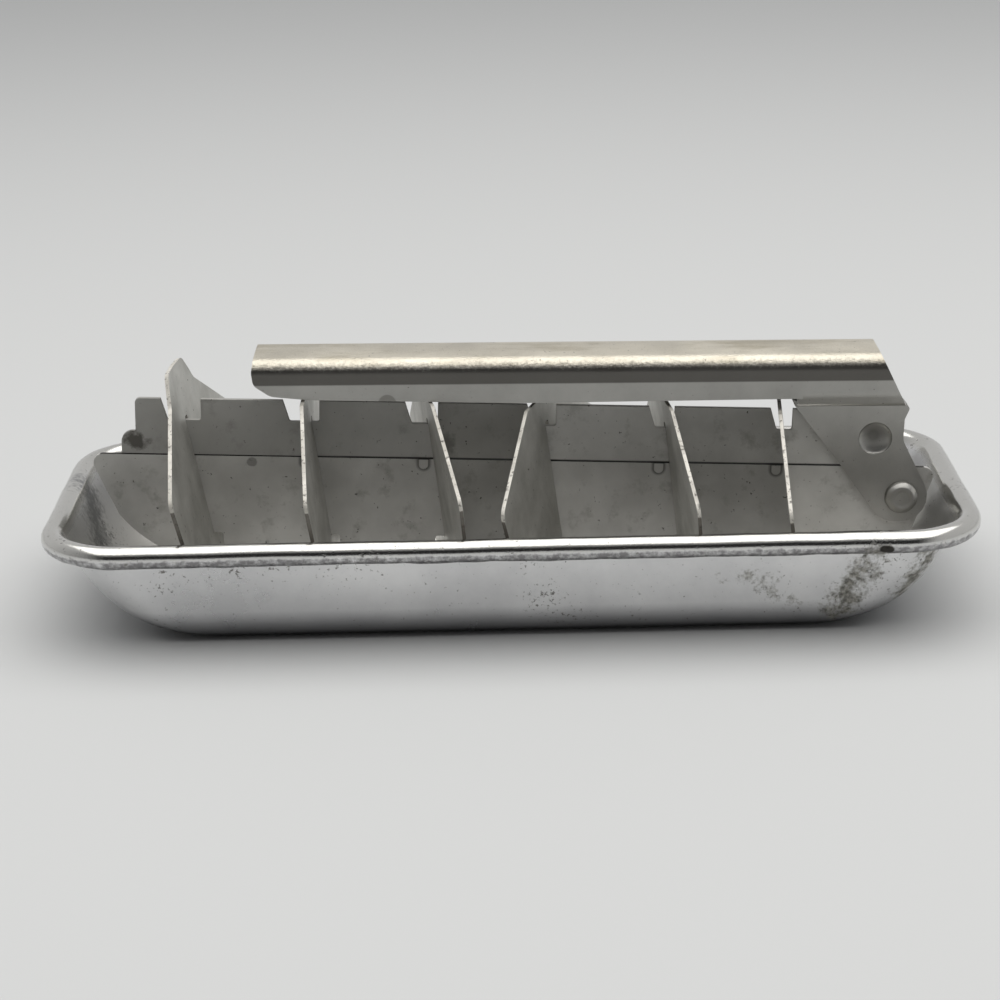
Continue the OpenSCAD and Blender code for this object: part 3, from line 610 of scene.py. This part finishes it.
# Pressed aluminium: the crown worn to a warm satin by hands, with brownish
# streaks and fine pits; the flanks a darker neutral grey, partly their own tone
# and partly painted shade; a dark line under the shoulder, a painted reflection
# of the dark room in front; and painted shade in the dimples' bowls.
satin, tree, surface = new_finish("worn_satin_aluminium", Metallic=0.95)
spot = add(tree, "TexCoord")
place = spot.outputs["Object"]
cloud = add(tree, "TexNoise", {"Vector": place, "Scale": 1000 / 28, "Detail": 6, "Roughness": 0.6}).outputs[0]
cloud_share = add(tree, "MapRange", {"Value": cloud, "From Min": 0.35, "From Max": 0.65}).outputs[0]
crown = add(tree, "Mix", {0: cloud_share, 6: paint("#BFB9AB"), 7: paint("#D4CEC0")},
            data_type="RGBA").outputs[2]
lengthways = add(tree, "VectorMath", {0: place, 1: (0.3, 1, 1)}, operation="MULTIPLY").outputs["Vector"]
streak = add(tree, "TexNoise", {"Vector": lengthways, "Scale": 1000 / 9, "Detail": 7,
                                "Roughness": 0.7}).outputs[0]
streak_share = add(tree, "MapRange", {"Value": streak, "From Min": 0.5, "From Max": 0.68,
                                      "To Max": 0.6}).outputs[0]
streaked = add(tree, "Mix", {0: streak_share, 6: crown, 7: paint("#9F967F")}, data_type="RGBA").outputs[2]
# The flanks: a cooler, darker grey, partly their own tone and partly painted shade.
shaded_flank = add(tree, "Mix", {0: cloud_share, 6: paint("#9E9D99"), 7: paint("#B3B2AE")},
            data_type="RGBA").outputs[2]
facing = add(tree, "SeparateXYZ", {"Vector": spot.outputs["Normal"]}).outputs["Y"]
sideways = add(tree, "Math", {0: facing}, operation="ABSOLUTE").outputs[0]
turned = add(tree, "MapRange", {"Value": sideways, "From Min": 0.8, "From Max": 0.99}).outputs[0]

# Height above the table, corrected for the handle's small fall to the right.
handle_fall = 0.0124
height = add(tree, "VectorMath", {0: place, 1: (handle_fall, 0, 1)}, operation="DOT_PRODUCT").outputs["Value"]
below = add(tree, "MapRange", {"Value": height, "From Min": 72.5 * MM, "From Max": 75 * MM,
                               "To Min": 1.0, "To Max": 0.0}).outputs[0]
shaded_flank_share = add(tree, "Math", {0: turned, 1: below}, operation="MAXIMUM").outputs[0]
tone = add(tree, "Mix", {0: shaded_flank_share, 6: streaked, 7: shaded_flank}, data_type="RGBA").outputs[2]

# The dark line, a painted reflection of the dark room in front, with a ragged
# upper edge.
grit = add(tree, "TexNoise", {"Vector": place, "Scale": 1000 / 1.3, "Detail": 4, "Roughness": 0.7}).outputs[0]
ragged = add(tree, "MapRange", {"Value": grit, "From Min": 0.3, "From Max": 0.7,
                                "To Min": -0.9 * MM, "To Max": 0.9 * MM}).outputs[0]
rough_height = add(tree, "Math", {0: height, 1: ragged}, operation="ADD").outputs[0]
under = add(tree, "MapRange", {"Value": rough_height, "From Min": 76.2 * MM, "From Max": 78.6 * MM,
                               "To Min": 1.0, "To Max": 0.0}).outputs[0]
above = add(tree, "MapRange", {"Value": height, "From Min": 71.5 * MM, "From Max": 71.9 * MM}).outputs[0]
reflection_band = add(tree, "Math", {0: under, 1: above}, operation="MULTIPLY").outputs[0]
reflection_band_share = add(tree, "Math", {0: reflection_band, 1: 0.8}, operation="MULTIPLY").outputs[0]
reflection_painted = add(tree, "Mix", {0: reflection_band_share, 6: tone, 7: paint("#4A4743")}, data_type="RGBA").outputs[2]

# A round thumb mark on the near flank.
thumb_place = (-37.2 * MM, -12 * MM, 66.2 * MM)
thumb = add(tree, "VectorMath", {0: place, 1: thumb_place}, operation="DISTANCE").outputs["Value"]
thumb_share = add(tree, "MapRange", {"Value": thumb, "From Min": 2.6 * MM, "From Max": 3 * MM,
                                     "To Min": 0.55, "To Max": 0.0}).outputs[0]
smudged = add(tree, "Mix", {0: thumb_share, 6: reflection_painted, 7: paint("#67655F")}, data_type="RGBA").outputs[2]

# Painted shade in the bowl of the dimple of each ear: seen from the side, both
# lie in the same place.
dimple_place = (114.4 * MM, 0, 49.3 * MM)
sideview = add(tree, "VectorMath", {0: place, 1: (1, 0, 1)}, operation="MULTIPLY").outputs["Vector"]
bowl = add(tree, "VectorMath", {0: sideview, 1: dimple_place}, operation="DISTANCE").outputs["Value"]
bowl_shade_share = add(tree, "MapRange", {"Value": bowl, "From Min": 1.4 * MM, "From Max": 4.6 * MM,
                                    "To Min": 0.6, "To Max": 0.0}).outputs[0]
bowl_shaded = add(tree, "Mix", {0: bowl_shade_share, 6: smudged, 7: paint("#403E3B")}, data_type="RGBA").outputs[2]

# Fine pits, and a grain that is strong on the crown and faint on the flanks.
speck = add(tree, "TexNoise", {"Vector": place, "Scale": 1000 / 1.2, "Detail": 3,
                               "Roughness": 0.7}).outputs[0]
speck_share = add(tree, "MapRange", {"Value": speck, "From Min": 0.65, "From Max": 0.73}).outputs[0]
speckled = add(tree, "Mix", {0: speck_share, 6: bowl_shaded, 7: paint("#6B6862")}, data_type="RGBA").outputs[2]
tree.links.new(speckled, surface.inputs["Base Color"])
rough = add(tree, "MapRange", {"Value": cloud, "From Min": 0.3, "From Max": 0.7,
                               "To Min": 0.34, "To Max": 0.42}).outputs[0]
tree.links.new(rough, surface.inputs["Roughness"])
grain = add(tree, "TexNoise", {"Vector": place, "Scale": 1000 / 0.8, "Detail": 3,
                               "Roughness": 0.6}).outputs[0]
coarse = add(tree, "MapRange", {"Value": shaded_flank_share, "To Min": 0.9, "To Max": 0.15}).outputs[0]
relief = add(tree, "Bump", {"Height": grain, "Strength": coarse, "Distance": 0.25 * MM}).outputs[0]
tree.links.new(relief, surface.inputs["Normal"])
lever.data.materials.append(satin)


# ---------------------------------------------------------------- pivot rivet
# A soft aluminium rivet closed to a low dome on each side of the ears.  It is
# pressed into the lower plate and has worn to the lever's satin.

rivet = finished_copy("pivot_rivet", "pivot_rivet_closed", "grid", edge=0.1)
rivet.data.materials.append(satin)
